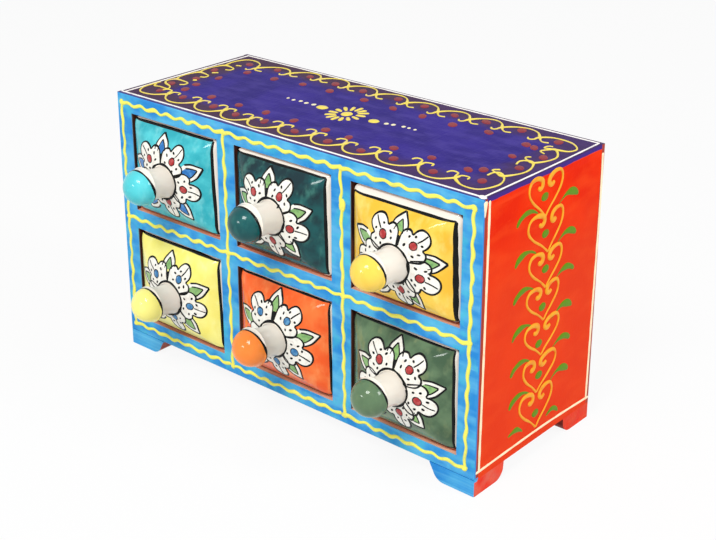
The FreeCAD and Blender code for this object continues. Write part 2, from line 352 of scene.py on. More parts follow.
def foot_material(name, side_colour, ahead_colours):
    """A foot, painted in one colour ahead and in another beside, and smeared underneath."""
    graph = Graph(name, 0.42, 0.1)
    side = brushed(graph, side_colour, red_deep, red_pale, (9.0, 9.0, 4.0), 9.0)
    ahead = brushed(graph, *ahead_colours, along_x)
    raw = graph.blend(graph.noise(5.0), (176, 66, 50), (206, 110, 96))
    shade = graph.blend(graph.beside(0.6, 0.2), raw, side)
    near_front = graph.below(graph.y, front + 2.0, front + 3.0)
    highest = graph.times(graph.above(graph.z, base - 1.2, base - 0.8), near_front)
    facing_ahead = graph.math("MAXIMUM", graph.below(graph.facing[1], -0.75, -0.6), highest)
    graph.colour(graph.blend(facing_ahead, shade, ahead))
    return graph.material


def paint_material(name, colour, thin):
    """Thick paint that lets the colour below it through here and there."""
    graph = Graph(name + "_paint", 0.4, 0.12)
    worn = graph.above(graph.noise(6.0, 5.0), 0.52, 0.74)
    graph.colour(graph.blend(graph.times(worn, 0.8), colour, thin))
    graph.relief(graph.noise(0.9, 2.0), 0.1)
    return graph.material


def ceramic_material(name, colour, thin, coat=0.3):
    """A glaze spot or line that a brush has left a little uneven."""
    graph = Graph(name, 0.25, 0.1, coat)
    uneven = graph.above(graph.noise(2.2, 3.0), 0.42, 0.7)
    graph.colour(graph.blend(uneven, colour, thin))
    return graph.material


# Light and floor
lamp_aim = Vector((0.0, 0.0, 0.07))
lamp_distance = 1.3


def area_light(name, direction, size, power):
    """A soft lamp that the camera doesn't see, aimed at the middle of the chest."""
    data = bpy.data.lights.new(name, "AREA")
    data.shape = "RECTANGLE"
    data.size, data.size_y = size
    data.energy = power
    light = bpy.data.objects.new(name, data)
    light.location = lamp_aim + Vector(direction).normalized() * lamp_distance
    light.rotation_euler = (lamp_aim - light.location).to_track_quat("-Z", "Y").to_euler()
    light.visible_camera = False
    show(light)


def seen_directly(tree):
    """1 for what the camera sees straight, in a gloss or through glass, and 0 for soft light."""
    path = tree.nodes.new("ShaderNodeLightPath")
    total = path.outputs["Is Camera Ray"]
    for name in ("Is Glossy Ray", "Is Transmission Ray"):
        node = tree.nodes.new("ShaderNodeMath")
        node.operation = "MAXIMUM"
        tree.links.new(total, node.inputs[0])
        tree.links.new(path.outputs[name], node.inputs[1])
        total = node.outputs[0]
    return total


def make_world(strength):
    world = bpy.data.worlds.new("studio")
    world.use_nodes = True
    tree = world.node_tree
    tree.nodes.clear()
    out = tree.nodes.new("ShaderNodeOutputWorld")
    mix = tree.nodes.new("ShaderNodeMixShader")
    tree.links.new(seen_directly(tree), mix.inputs["Fac"])
    for index, level in ((1, strength), (2, 1.0)):
        shade = tree.nodes.new("ShaderNodeBackground")
        shade.inputs["Color"].default_value = (1.0, 1.0, 1.0, 1.0)
        shade.inputs["Strength"].default_value = level
        tree.links.new(shade.outputs[0], mix.inputs[index])
    tree.links.new(mix.outputs[0], out.inputs["Surface"])
    bpy.context.scene.world = world


def make_floor(shown_white):
    """A pale floor that looks white and still holds the shadow of the chest."""
    bpy.ops.mesh.primitive_plane_add(size=8.0, location=(0.0, 0.0, 0.0))
    floor = bpy.context.object
    floor.name = "floor"
    material = bpy.data.materials.new("floor")
    material.use_nodes = True
    tree = material.node_tree
    shader = tree.nodes["Principled BSDF"]
    shader.inputs["Base Color"].default_value = (0.8, 0.8, 0.8, 1.0)
    shader.inputs["Roughness"].default_value = 0.9
    shader.inputs["Specular IOR Level"].default_value = 0.0
    glow = tree.nodes.new("ShaderNodeEmission")
    share = tree.nodes.new("ShaderNodeMath")
    share.operation = "MULTIPLY"
    share.inputs[1].default_value = shown_white
    tree.links.new(seen_directly(tree), share.inputs[0])
    mix = tree.nodes.new("ShaderNodeMixShader")
    tree.links.new(share.outputs[0], mix.inputs["Fac"])
    tree.links.new(shader.outputs[0], mix.inputs[1])
    tree.links.new(glow.outputs[0], mix.inputs[2])
    tree.links.new(mix.outputs[0], tree.nodes["Material Output"].inputs["Surface"])
    floor.data.materials.append(material)


# Surfaces that take paint, with u to the right, v up and h outwards
class Flat:
    """A flat side of the case."""

    def __init__(self, corner, along, up):
        self.corner, self.along, self.up = Vector(corner), Vector(along), Vector(up)
        self.out = self.along.cross(self.up)

    def place(self, u, v, h):
        return (self.corner + self.along * u + self.up * v + self.out * h) * MM


class DrawerSurface:
    """The front of one drawer, met by rays; u and v are from the middle of its face."""

    def __init__(self, node):
        self.x, self.z = face_of(node)[:2]
        mesh = nodes[node].data
        points = [vertex.co for vertex in mesh.vertices]
        self.tree = BVHTree.FromPolygons(points, [face.vertices for face in mesh.polygons])

    def hit(self, start, direction):
        return self.tree.ray_cast(Vector(start) * MM, Vector(direction))[:2]


class Face(DrawerSurface):
    """The pillowed face, met by rays that run straight back from beside the neck."""

    def place(self, u, v, h):
        place = None
        while place is None:
            place, normal = self.hit((self.x + u, face_start, self.z + v), (0.0, 1.0, 0.0))
            u, v = u * 0.99, v * 0.99
        return place + normal * h * MM


class Knob(DrawerSurface):
    """The ball; u runs round it and v is forward of its middle, along the heading of its coloured cap."""

    def __init__(self, node, look):
        super().__init__(node)
        self.radius = look.ball_radius
        self.middle, self.heading = cap_of(node, look)
        self.up = Vector((1.0, 0.0, 0.0)).cross(-self.heading)

    def place(self, u, v, h):
        angle = u / self.radius
        out = Vector((math.cos(angle), 0.0, 0.0)) + self.up * math.sin(angle)
        place, normal = self.hit(self.middle + self.heading * v + out * 2.0 * self.radius, -out)
        return place + normal * h * MM


top_side = Flat((left, front, top), (1, 0, 0), (0, 1, 0))
front_side = Flat((left, front, base), (1, 0, 0), (0, 0, 1))
right_side = Flat((right, front, base), (0, 1, 0), (0, 0, 1))
left_side = Flat((left, back, base), (0, -1, 0), (0, 0, 1))

# Strokes
curve_steps = 8
section_steps = 6
round_end = (0.0, 0.08, 0.3, 0.62)
dome_shares = (0.0, 0.35, 0.65, 0.87, 1.0)
sink = 0.06


def curve_through(points):
    """Close places on a smooth curve through the points, each of which is u, v and swell."""
    points = [Vector(point) if len(point) == 3 else Vector((*point, 1.0)) for point in points]
    last = len(points) - 1
    places = []
    for i in range(last):
        p0, p1, p2, p3 = (points[min(max(i + k, 0), last)] for k in (-1, 0, 1, 2))
        for step in range(curve_steps):
            t = step / curve_steps
            places.append(0.5 * (2.0 * p1 + (p2 - p0) * t + (2.0 * p0 - 5.0 * p1 + 4.0 * p2 - p3) * t ** 2
                                 + (3.0 * p1 - p0 - 3.0 * p2 + p3) * t ** 3))
    places.append(points[last])
    return places


def spaced(places, distances):
    """The places at the given distances along a line of places."""
    found = []
    walked = 0.0
    index = 0
    for distance in distances:
        while index < len(places) - 2:
            piece = (places[index + 1].xy - places[index].xy).length
            if walked + piece >= distance:
                break
            walked += piece
            index += 1
        piece = max((places[index + 1].xy - places[index].xy).length, 1e-9)
        share = min(max((distance - walked) / piece, 0.0), 1.0)
        found.append(places[index].lerp(places[index + 1], share))
    return found


def heading_of(angle):
    return Vector((math.cos(angle), math.sin(angle)))


def length_of(places):
    return sum((b.xy - a.xy).length for a, b in zip(places, places[1:]))


class Painter:
    """Strokes and dots of one paint on one surface, gathered in one mesh."""

    def __init__(self, name, surface, material, body, seed, step=0.8):
        self.name = name
        self.surface = surface
        self.material = material
        self.body = body
        self.dice = random.Random(seed)
        self.step = step
        self.mesh = bmesh.new()

    def vary(self, low, high):
        return self.dice.uniform(low, high)

    def vertex(self, u, v, h):
        return self.mesh.verts.new(self.surface.place(u, v, h))

    def sections(self, line, widths, heights):
        """Half-oval sections across a line of places."""
        rings = []
        for i, place in enumerate(line):
            ahead = line[min(i + 1, len(line) - 1)].xy - line[max(i - 1, 0)].xy
            across = Vector((ahead.y, -ahead.x)).normalized()
            ring = []
            for k in range(section_steps + 1):
                angle = math.pi * k / section_steps
                spot = place.xy + across * (math.cos(angle) * widths[i] / 2.0)
                ring.append(self.vertex(spot.x, spot.y, math.sin(angle) * heights[i] - sink))
            rings.append(ring)
        return rings

    def skin(self, rings):
        """A surface along a row of sections, shut at both ends."""
        count = len(rings[0])
        for one, two in zip(rings, rings[1:]):
            for k in range(count):
                after = (k + 1) % count
                self.mesh.faces.new((one[k], one[after], two[after], two[k]))
        self.mesh.faces.new(rings[0])
        self.mesh.faces.new(rings[-1][::-1])

    def stroke(self, points, width, height, wobble=0.07):
        """A raised line with round ends; a third number of a point swells the line there."""
        places = curve_through(points)
        total = length_of(places)
        radius = min(width / 2.0, total / 2.2)
        tip = [radius * share for share in round_end]
        count = max(int((total - 2.0 * radius) / self.step), 1)
        run = [radius + (total - 2.0 * radius) * i / count for i in range(count + 1)]
        distances = tip + run + [total - value for value in reversed(tip)]
        line = spaced(places, distances)
        waves = [(self.vary(0.25, 0.6), self.vary(0.0, math.tau)) for _ in range(3)]
        widths = []
        heights = []
        for distance, place in zip(distances, line):
            near_end = min(distance, total - distance)
            full = math.sqrt(max(1.0 - (1.0 - min(near_end / radius, 1.0)) ** 2, 0.0025))
            unsteady = 1.0 + wobble * sum(math.sin(distance * rate + start) for rate, start in waves)
            widths.append(width * place.z * full * unsteady)
            heights.append(height * min(place.z, 1.3) * full)
        self.skin(self.sections(line, widths, heights))

    def patch(self, outline, middle, profile):
        """A filled outline. The profile gives the height at shares of the way from middle to outline."""
        outline = [Vector(point[:2]) for point in outline]
        middle = Vector(middle)
        hub = self.vertex(middle.x, middle.y, profile[0][1])
        rings = []
        for share, lift in profile[1:]:
            spots = [middle.lerp(point, share) for point in outline]
            rings.append([self.vertex(spot.x, spot.y, lift) for spot in spots])
        count = len(outline)
        for k in range(count):
            after = (k + 1) % count
            self.mesh.faces.new((hub, rings[0][k], rings[0][after]))
            for inner, outer in zip(rings, rings[1:]):
                self.mesh.faces.new((inner[k], outer[k], outer[after], inner[after]))
        below = self.vertex(middle.x, middle.y, profile[-1][1])
        for k in range(count):
            self.mesh.faces.new((below, rings[-1][(k + 1) % count], rings[-1][k]))

    def dome(self, middle, length, width, turn, height, corners=16):
        """An oval drop of paint, its length turned from the u axis by the given degrees."""
        middle = Vector(middle)
        heading = heading_of(math.radians(turn))
        across = Vector((-heading.y, heading.x))
        outline = []
        for k in range(corners):
            angle = math.tau * k / corners
            spread = 1.0 + self.vary(-0.05, 0.05)
            outline.append(middle + (heading * math.cos(angle) * length + across * math.sin(angle) * width)
                           * spread / 2.0)
        profile = [(share, height * math.sqrt(1.0 - share ** 2) - sink) for share in dome_shares]
        self.patch(outline, middle, profile)

    def finish(self):
        bmesh.ops.recalc_face_normals(self.mesh, faces=self.mesh.faces)
        data = bpy.data.meshes.new(self.name)
        self.mesh.to_mesh(data)
        self.mesh.free()
        data.polygons.foreach_set("use_smooth", [True] * len(data.polygons))
        data.materials.append(self.material)
        piece = bpy.data.objects.new(self.name, data)
        show(piece)
        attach(piece, self.body)


# Wavy yellow lines of the front
def wavy(painter, start, end, wave_half=5.3, sway=0.8):
    """A zigzag line with rounded bends, as a moving brush leaves it."""
    start, end = Vector(start), Vector(end)
    count = round((end - start).length / wave_half)
    across = Vector((start.y - end.y, end.x - start.x)).normalized()
    points = []
    for i in range(count + 1):
        share = (i + (painter.vary(-0.15, 0.15) if 0 < i < count else 0.0)) / count
        offset = sway * painter.vary(0.55, 1.15) * (1.0 if i % 2 else -1.0)
        spot = start.lerp(end, share) + across * offset
        points.append((spot.x, spot.y, painter.vary(0.85, 1.12)))
    painter.stroke(points, 2.1, 0.55)


def paint_front():
    painter = Painter("front_yellow_lines", front_side, yellow, "case", 11)
    rails = (5.0, 72.5, 140.3)
    bars = ((3.8, 4.4), (83.6, 85.2), (165.0, 167.2), (245.0, 244.0))
    stops = [upper for upper, lower in bars]
    for v in rails:
        for u0, u1 in zip(stops, stops[1:]):
            wavy(painter, (u0, v), (u1, v))
    for upper, lower in bars:
        joints = tuple(zip((lower, (upper + lower) / 2.0, upper), rails))
        for start, end in zip(joints, joints[1:]):
            wavy(painter, start, end, 5.6, 0.5)
        for joint in joints:
            painter.dome(joint, 4.0, 3.2, painter.vary(0.0, 180.0), 0.75)
    painter.dome((166.0, 121.0), 7.5, 4.4, 84.0, 0.8)
    painter.finish()


# Vine, drops and daisy of the top
vine_width = 1.1
vine_height = 0.5


def scroll(painter, start, end, inward, bulge, start_hook, end_hook):
    """One swing of the vine from joint to joint, with a hook before and after it.

    A hook's points are measured along the row and inwards from its joint.
    """
    start, end = Vector(start), Vector(end)
    along = end - start
    reach = along.length
    along.normalize()
    inward = Vector(inward)
    points = [(*(start + along * a + inward * b), 1.0) for a, b in start_hook]
    points.append((*start, 1.55))
    for share, depth in ((0.22, 0.72), (0.5, 1.0), (0.78, 0.76)):
        points.append((*(start + along * reach * share - inward * bulge * depth), 0.95))
    points.append((*end, 1.55))
    points += [(*(end + along * a + inward * b), 1.0) for a, b in end_hook]
    painter.stroke(points, vine_width, vine_height)


def paint_vine():
    painter = Painter("top_vine", top_side, vine_yellow, "case", 21, 0.7)
    front_joints = ((24.9, 14.9), (48.2, 15.3), (69.3, 14.5), (90, 13.1), (110.4, 14.5), (132.1, 15.8),
                    (153.4, 15.3), (174.1, 16.2), (199.8, 16.6), (223.4, 13.9))
    front_hooks = ((-7.6, 3.4), (-6.4, 6.2), (-2.6, 5.8)), ((0.6, 4.4), (4.6, 5.4), (5.5, 2.8))
    back_joints = ((26.2, 83.0), (48.4, 87.9), (69.2, 91.0), (91.0, 90.1), (112.4, 89.1), (134.7, 88.2),
                   (156.9, 86.8), (177.2, 87.4), (197.5, 87.8), (221.0, 87.1))
    back_hooks = ((-4.5, 3.2), (-3.0, 5.0), (-1.0, 4.0)), ((2.5, 3.0), (5.0, 4.6), (8.0, 3.6))
    left_joints = ((7.4, 37.5), (7.4, 55.7), (8.2, 75.2))
    left_hooks = (), ((0.0, 4.3), (-1.6, 8.8), (-4.9, 9.4), (-6.2, 6.6))
    for joints, inward, bulge, hooks in (
        (front_joints, (0.0, 1.0), 8.3, front_hooks),
        (back_joints, (0.0, -1.0), 7.8, back_hooks),
        (left_joints, (1.0, 0.0), 2.8, left_hooks),
    ):
        for start, end in zip(joints, joints[1:]):
            scroll(painter, start, end, inward, bulge, *hooks)
    others = (
        ((4.6, 28.5), (4.2, 23), (4.7, 15.5), (8.2, 9.8), (12.7, 8.1), (19.7, 9.6), (24.9, 14.9, 1.5),
         (25.4, 19.4), (29.4, 20.4), (30.4, 17.8)),
        ((5.2, 24.6), (7.5, 21), (11.2, 21.9), (17.6, 21.7), (14.8, 25.9), (9.4, 28, 1.4), (5.8, 31),
         (5.4, 34.5), (7.4, 37.5, 1.5), (11.9, 37.8), (17.5, 36.8), (18.7, 33.4), (16.4, 31.5)),
        ((215.8, 17.4), (216.8, 20.4), (220.6, 20), (223.4, 13.9, 1.5), (231.6, 8.3), (240.5, 9.1),
         (244.1, 18.4), (241.9, 26.7), (236.3, 32.4, 1.4), (232.9, 31.2), (232.6, 26.5)),
        ((33.2, 80.1), (28.4, 79.9), (26.2, 83, 1.5), (22.2, 90.1), (15.5, 93.2), (9.1, 91.6), (6.5, 83.4),
         (8.2, 75.2, 1.3)),
        ((216, 84), (217.6, 82), (220, 83), (221, 87.1, 1.5), (227.2, 91.4), (237.7, 90.5),
         (244.5, 84.5), (243.4, 78.8), (237.3, 76.9, 1.5), (231.6, 75.6), (231.3, 78.7), (233.8, 79.9)),
        ((233, 36.5), (230.4, 33.7), (234.2, 31.6), (238.9, 30.1, 1.5), (243.2, 38), (243.3, 46),
         (239.5, 54.1, 1.5), (235, 55.6), (232.2, 58.3), (234, 60.6)),
        ((234.3, 47.5), (233.1, 52), (235.6, 54.8), (239.5, 54.1, 1.5), (243.2, 61), (243.3, 68.9),
         (237.3, 76.9, 1.5), (234.4, 74.6), (232.5, 70.6), (236.2, 68.4)),
        ((13.4, 59.4, 1.2), (16.1, 62.3, 1)),
        ((13.1, 79.1, 1.2), (16.4, 80.6, 1)),
        ((15.8, 42.2, 1.2), (17.8, 43.8, 1.2)),
    )
    for points in others:
        painter.stroke(points, vine_width, vine_height)
    painter.finish()


def paint_drops():
    painter = Painter("top_crimson_drops", top_side, crimson, "case", 31)
    drops = (
        (16.3, 17.4), (35.2, 17), (59.7, 16.6), (78.7, 14.4), (98.3, 16.1), (121, 14.6), (144.1, 14),
        (165.5, 14.4), (185, 15.8), (210.3, 14.1), (235.1, 19), (25.2, 27.8), (46.8, 27.4), (68.6, 26.8),
        (88.5, 27.1), (109, 26.8), (131.5, 26.4), (148.2, 25.1), (175.5, 27.6), (198, 28.8), (221.2, 27),
        (226.8, 31.5), (10.9, 30.4), (23.2, 38.1), (14.7, 46), (23.6, 55.1), (10.1, 64.8),
        (17.4, 86.2), (37.9, 88.6), (61.4, 90.9), (81.9, 89.8), (102.5, 89.5), (126.5, 90.9), (145.3, 90.2),
        (166.9, 88.2), (186, 90), (207.5, 91), (231.8, 87.5), (28.1, 73.6), (48.9, 74.5), (68.3, 77.4),
        (88.2, 77.9), (113.5, 77.7), (134.8, 76.3), (155, 76.1), (175.4, 75.2), (196.5, 77.5), (221.7, 74.2),
        (227.2, 72.9), (238.8, 63.7), (226.2, 55.8), (238.2, 44.5),
    )
    for u, v in drops:
        turn = 129.0 + painter.vary(-12.0, 12.0)
        length = 7.6 * painter.vary(0.9, 1.1)
        across = 4.9 * painter.vary(0.88, 1.1)
        painter.dome((u, v), length, across, turn, 0.3)
    painter.finish()


def paint_daisy():
    painter = Painter("top_daisy", top_side, vine_yellow, "case", 41)
    middle = Vector((122.7, 52.9))
    painter.dome(middle, 7.4, 6.4, 90.0, 0.7)
    petals = 14
    for k in range(petals):
        angle = math.tau * (k + 0.5) / petals
        out = Vector((math.cos(angle) * 0.98, math.sin(angle) * 1.2))
        inner = middle + out * 5.1
        outer = middle + out * (10.7 + painter.vary(-0.6, 0.6))
        painter.stroke(((*inner, 0.8), (*inner.lerp(outer, 0.6), 1.2), (*outer, 0.95)), 2.0, 0.5)
    painter.dome((105.2, 52.9), 7.2, 6.0, 0.0, 0.7)
    painter.dome((141.2, 52.9), 6.4, 5.8, 0.0, 0.7)
    painter.finish()
    painter = Painter("top_small_dots", top_side, dot_paint, "case", 42)
    small_dots = (
        (98.5, 53.6, 3.3), (93.5, 53.1, 3.1), (89, 53.6, 2.8), (84.5, 52.6, 2.5), (80, 53.1, 2.2),
        (148.7, 54.1, 3.1), (152.5, 55.1, 3), (158.5, 56.1, 2.8), (162, 56.1, 2.3), (166, 56.1, 2.1),
    )
    for u, v, across in small_dots:
        painter.dome((u, v), across, across * 0.85, 90.0, 0.45)
    painter.finish()


def paint_borders():
    painter = Painter("top_white_border", top_side, white_paint, "case", 51, 1.5)
    ends = (
        ((0.8, 2.9), (80, 3.2), (160, 2.6), (249.2, 2.6)),
        ((3.4, 2), (3, 50), (3.4, 99.2)),
        ((247.7, 1.2), (248.2, 50), (247.8, 99.6)),
        ((2.6, 99.2), (120, 99.6), (248.2, 99.3)),
    )
    for points, across in zip(ends, (1.5, 1.4, 1.2, 1.2)):
        painter.stroke(points, across, 0.35, 0.05)
    painter.dome((247.4, 2.6), 5.4, 3.6, 150.0, 0.4)
    painter.finish()
    for name, side, seed in (("right", right_side, 61), ("left", left_side, 62)):
        painter = Painter(name + "_cream_border", side, cream_paint, "case", seed, 1.5)
        painter.stroke(((4.6, 144), (4.2, 75), (3.4, 4)), 1.8, 0.35, 0.05)
        painter.stroke(((1.6, 144.4, 1.5), (1.5, 141, 1.2), (1.2, 136.5, 0.5)), 2.0, 0.35)
        painter.stroke(((100, 141), (100.5, 112), (99.5, 50), (98.9, 3.6)), 1.8, 0.35, 0.05)
        painter.stroke(((0.8, 3.9), (46, 4.7), (71, 4.5), (101.3, 3.2)), 1.5, 0.35, 0.05)
        painter.finish()


# Hearts and leaves of the sides
left_lobe = ((0, 0, 0.8), (-4.6, 4.7, 0.8), (-10.2, 9.1, 0.9), (-13.8, 13.4, 0.95), (-14.5, 17.2, 1),
             (-12.7, 20.3, 1.2), (-8.3, 21, 1.5), (-4.2, 19.4, 1.75), (-3.6, 16.7, 1.8), (-5.4, 15.2, 1.7),
             (-7.2, 16.4, 1.4))
right_lobe = ((0, 0, 0.8), (2.9, 3.4, 0.8), (7.9, 7.8, 0.9), (12.3, 12.8, 0.95), (13.5, 17.5, 1),
              (11.7, 21, 1.2), (7.3, 21.6, 1.5), (3, 19.8, 1.75), (2, 17, 1.8), (4.2, 15.4, 1.7),
              (6.4, 16.8, 1.4))
hearts = ((50.5, 122, 14.5, 13.5, 21.5), (54.4, 102.6, 17.8, 11.6, 21.5), (53.9, 83.9, 15.1, 12.7, 20),
          (53.5, 66.4, 15.4, 11.9, 19.2), (52.9, 47.4, 15, 14.4, 19), (50.4, 27.3, 12.3, 16, 19.5),
          (51.4, 7, 15.4, 13.1, 21.8))
heart_dots = ((49.5, 132.5), (51.5, 113), (53, 94), (52, 74), (50.5, 54.5), (52, 36.5),
              (50.5, 15.5))
leaf_left = ((-7.5, -1.6, 0.3), (-12.5, 0.9, 0.7), (-18, 1.2, 1.2), (-22.8, -0.8, 1.25), (-25, -3.8, 0.7))
leaf_right = ((8.5, -3.5, 0.25), (12.5, -0.6, 0.35), (16.5, 1.3, 0.9), (20.5, 1.6, 1.4), (24.5, 0.2, 1.35),
              (27, -1.8, 0.8))
leaf_rows = (127, 107, 87, 67.5, 48.5, 30.5)


def paint_side(name, side, seed):
    painter = Painter(name + "_hearts", side, golden_paint, "case", seed, 0.6)
    for u, v, reach_left, reach_right, tall in hearts:
        for lobe, reach in ((left_lobe, reach_left), (right_lobe, reach_right)):
            widest = max(abs(point[0]) for point in lobe)
            highest = max(point[1] for point in lobe)
            points = [(u + a / widest * reach, v + b / highest * tall, swell) for a, b, swell in lobe]
            painter.stroke(points, 1.6, 0.55)
    painter.finish()
    painter = Painter(name + "_leaves", side, leaf_paint, "case", seed + 1, 0.6)
    for u, v in heart_dots:
        painter.dome((u, v), 6.3, 4.6, 0.0, 0.4)
    for v in leaf_rows:
        for leaf in (leaf_left, leaf_right):
            shift = painter.vary(-0.6, 0.6)
            points = [(52.0 + a, v + b + shift, swell) for a, b, swell in leaf]
            painter.stroke(points, 2.6, 0.35)
    painter.stroke(((27, 12, 0.5), (33, 13.2, 1.2), (37, 11.8, 0.7), (40, 9.6, 0.3)), 2.6, 0.35)
    painter.stroke(((60.4, 9.3, 0.4), (65.5, 11.4, 1.1), (69.5, 10, 0.9), (71.6, 7.6, 0.4)), 2.6, 0.35)
    painter.finish()


# Drawers
class Look:
    """What sets one drawer apart: its colours, its black outline, its knob, and its flowers and leaves."""

    def __init__(self, ground, deep, pale, dots, leaf, insets, knob, flowers, tips, ball=None):
        self.ground, self.deep, self.pale = ground, deep, pale
        self.ball = ball or ground
        self.dots, self.leaf = dots, leaf
        self.left, self.right, self.bottom, self.top, self.right_line, self.top_line = insets
        self.ball_radius, self.knob_lift, self.cap_forward, self.cap_lean = knob
        self.flowers, self.tips = flowers, tips


looks = {
    "upper_left_drawer": Look(
        (84, 206, 214), (40, 170, 184), (156, 232, 232), "red", "blue",
        (0.9, 2.2, 0.9, 1.05, 1.6, 1.35), (10.1, -1.2, 0, 0.25),
        ((-11.1, 9.5, 145), (6.6, 11.6, 54), (14.6, -2.3, -13), (2.5, -12, -88), (-13.6, -5.4, 205)),
        ((-4.6, 24.3), (26.1, 10.9), (18.5, -19.8), (-15.5, -21), (-27.6, 6.4))),
    "upper_middle_drawer": Look(
        (4, 84, 86), (0, 42, 50), (82, 158, 142), "red", "green",
        (0.9, 2.4, 1.2, 1.85, 1.4, 1.1), (9.9, -0.2, 1, 0.2),
        ((-12.2, 10.2, 144), (5.9, 11.9, 56), (13, -3.4, -12), (0.4, -13.2, -88), (-13.6, -6, 205)),
        ((-5.5, 24.2), (25, 8.4), (17.3, -18.7), (-16.5, -20.5), (-27.9, 6.9))),
    "upper_right_drawer": Look(
        (250, 212, 86), (246, 190, 52), (255, 232, 140), "red", "green",
        (1, 2.2, 0.9, 3.2, 2.2, 1.3), (9.2, -2.7, -0.3, 0.2),
        ((-6.5, 10.8, 126), (11.6, 9.4, 42), (15.4, -6.1, -26), (3.6, -15.2, -90), (-14.2, -3, 190)),
        ((3.1, 23.1), (27.8, 2.9), (14.3, -24.6), (-12, -23), (-27.2, 8.6))),
    "lower_left_drawer": Look(
        (252, 244, 138), (248, 236, 112), (255, 252, 186), "blue", "green",
        (0.9, 1.3, 0.9, 1, 1.3, 1.3), (9.7, -2.1, -0.8, 0.15),
        ((-10.7, 9.5, 144), (7.6, 11.3, 53), (15.2, -2.8, -13), (2.2, -12.8, -88), (-13.4, -5.4, 205)),
        ((-3.3, 24), (26.6, 10), (19.3, -19.6), (-16, -20.5), (-27.6, 6.6))),
    "lower_middle_drawer": Look(
        (250, 120, 52), (246, 90, 20), (255, 164, 96), "blue", "green",
        (0.9, 1, 0.9, 0.9, 1.2, 0.9), (10.1, -0.8, -0.6, 0.2),
        ((-9.8, 11.9, 132), (9.4, 12.2, 42), (14.4, -3.8, -23), (1.2, -13.5, -88), (-13.8, -4.6, 195)),
        ((-1.3, 25.7), (27.9, 8), (17.2, -20.1), (-15.5, -20.5), (-28.5, 8.8)), (252, 150, 60)),
    "lower_right_drawer": Look(
        (98, 126, 92), (64, 92, 66), (152, 162, 112), "red", "green",
        (1.2, 1.6, 0.9, 1, 1.2, 0.95), (9.7, -0.4, -0.8, 0.2),
        ((-8.5, 12, 131), (10.1, 12.5, 43), (15.1, -2.7, -23), (4.2, -12.6, -85), (-14, -3.4, 190)),
        ((-0.4, 25.5), (28.4, 6.8), (18.2, -17.7), (-14.5, -21.5), (-25.2, 9.9))),
}
cream = (248, 240, 228)
lean = 0.5
line_room = 0.7
ring_steps = 24
side_lobe = ((-8, 4.7), (-5, 6.9), (-2.2, 8.7), (0.6, 8.7), (2.6, 7), (2.6, 4.4))
outer_lobe = ((2.6, 4.4), (5.6, 4.7), (8.3, 3.8), (9.9, 1.4), (9.9, -1.4), (8.3, -3.8), (5.6, -4.7),
              (2.6, -4.4))
root_lobe = ((-8, -4.7), (-9, -1.6), (-9, 1.6), (-8, 4.7))


def flat_coat(height):
    """The heights of an even coat of glaze, from its middle to its edge."""
    return (0.0, height), (0.3, height), (0.6, height), (0.88, height), (0.97, height * 0.6), (1.0, -sink)


def cap_of(name, look):
    """The middle of a drawer's ball, and the heading of its coloured cap, which looks down a little."""
    x, z = face_of(name)[:2]
    middle = Vector((x, span(name)[0].y + look.ball_radius, z + look.knob_lift + neck_rise))
    return middle, Vector((0.0, -1.0, -look.cap_lean)).normalized()


def glaze_material(name, look):
    """Coloured glaze on the ball and inside the black line of the face, and cream glaze elsewhere."""
    graph = Graph(name + "_glaze", 0.2, 0.06, 0.5)
    face_x, face_z, half_width, half_height = face_of(name)
    x = graph.math("SUBTRACT", graph.x, face_x)
    z = graph.math("SUBTRACT", graph.z, face_z)
    shift = drawer_names.index(name) * 11.0
    clouds = graph.above(graph.noise(13.0, 5.0, shift), 0.36, 0.66)
    strokes = graph.above(graph.noise((5.0, 5.0, 9.0), 4.0, shift + 3.0), 0.48, 0.8)
    colour = graph.blend(clouds, look.deep, look.ground)
    colour = graph.blend(graph.times(strokes, 0.5), colour, look.pale)
    leaned = graph.math("ADD", x, graph.times(z, lean / half_height))
    in_width = graph.within(leaned, look.left - half_width - lean, half_width - look.right, 0.15)
    in_height = graph.within(z, look.bottom - half_height, half_height - look.top, 0.15)
    ahead = graph.below(graph.facing[1], -0.2, -0.05)
    on_face = graph.within(graph.y, front - 10.0, front + 4.5, 0.2)
    radius = graph.vector("LENGTH", graph.join(x, 0.0, graph.math("SUBTRACT", z, look.knob_lift)))
    off_neck = graph.above(radius, neck_root_radius - 0.2, neck_root_radius)
    middle, heading = cap_of(name, look)
    forward = graph.vector("DOT_PRODUCT", graph.vector("SUBTRACT", graph.place, middle), heading)
    on_ball = graph.above(forward, look.cap_forward - 0.1, look.cap_forward)
    ground = graph.times(in_width, in_height, ahead, on_face, off_neck)
    colour = graph.blend(graph.times(on_ball, 0.7), colour, look.ball)
    bare = graph.blend(graph.noise(12.0), cream, (240, 230, 216))
    shade = graph.blend(graph.math("MAXIMUM", ground, on_ball), bare, colour)
    graph.colour(shade)
    graph.relief(graph.noise(11.0, 2.0), 0.12)
    return graph.material


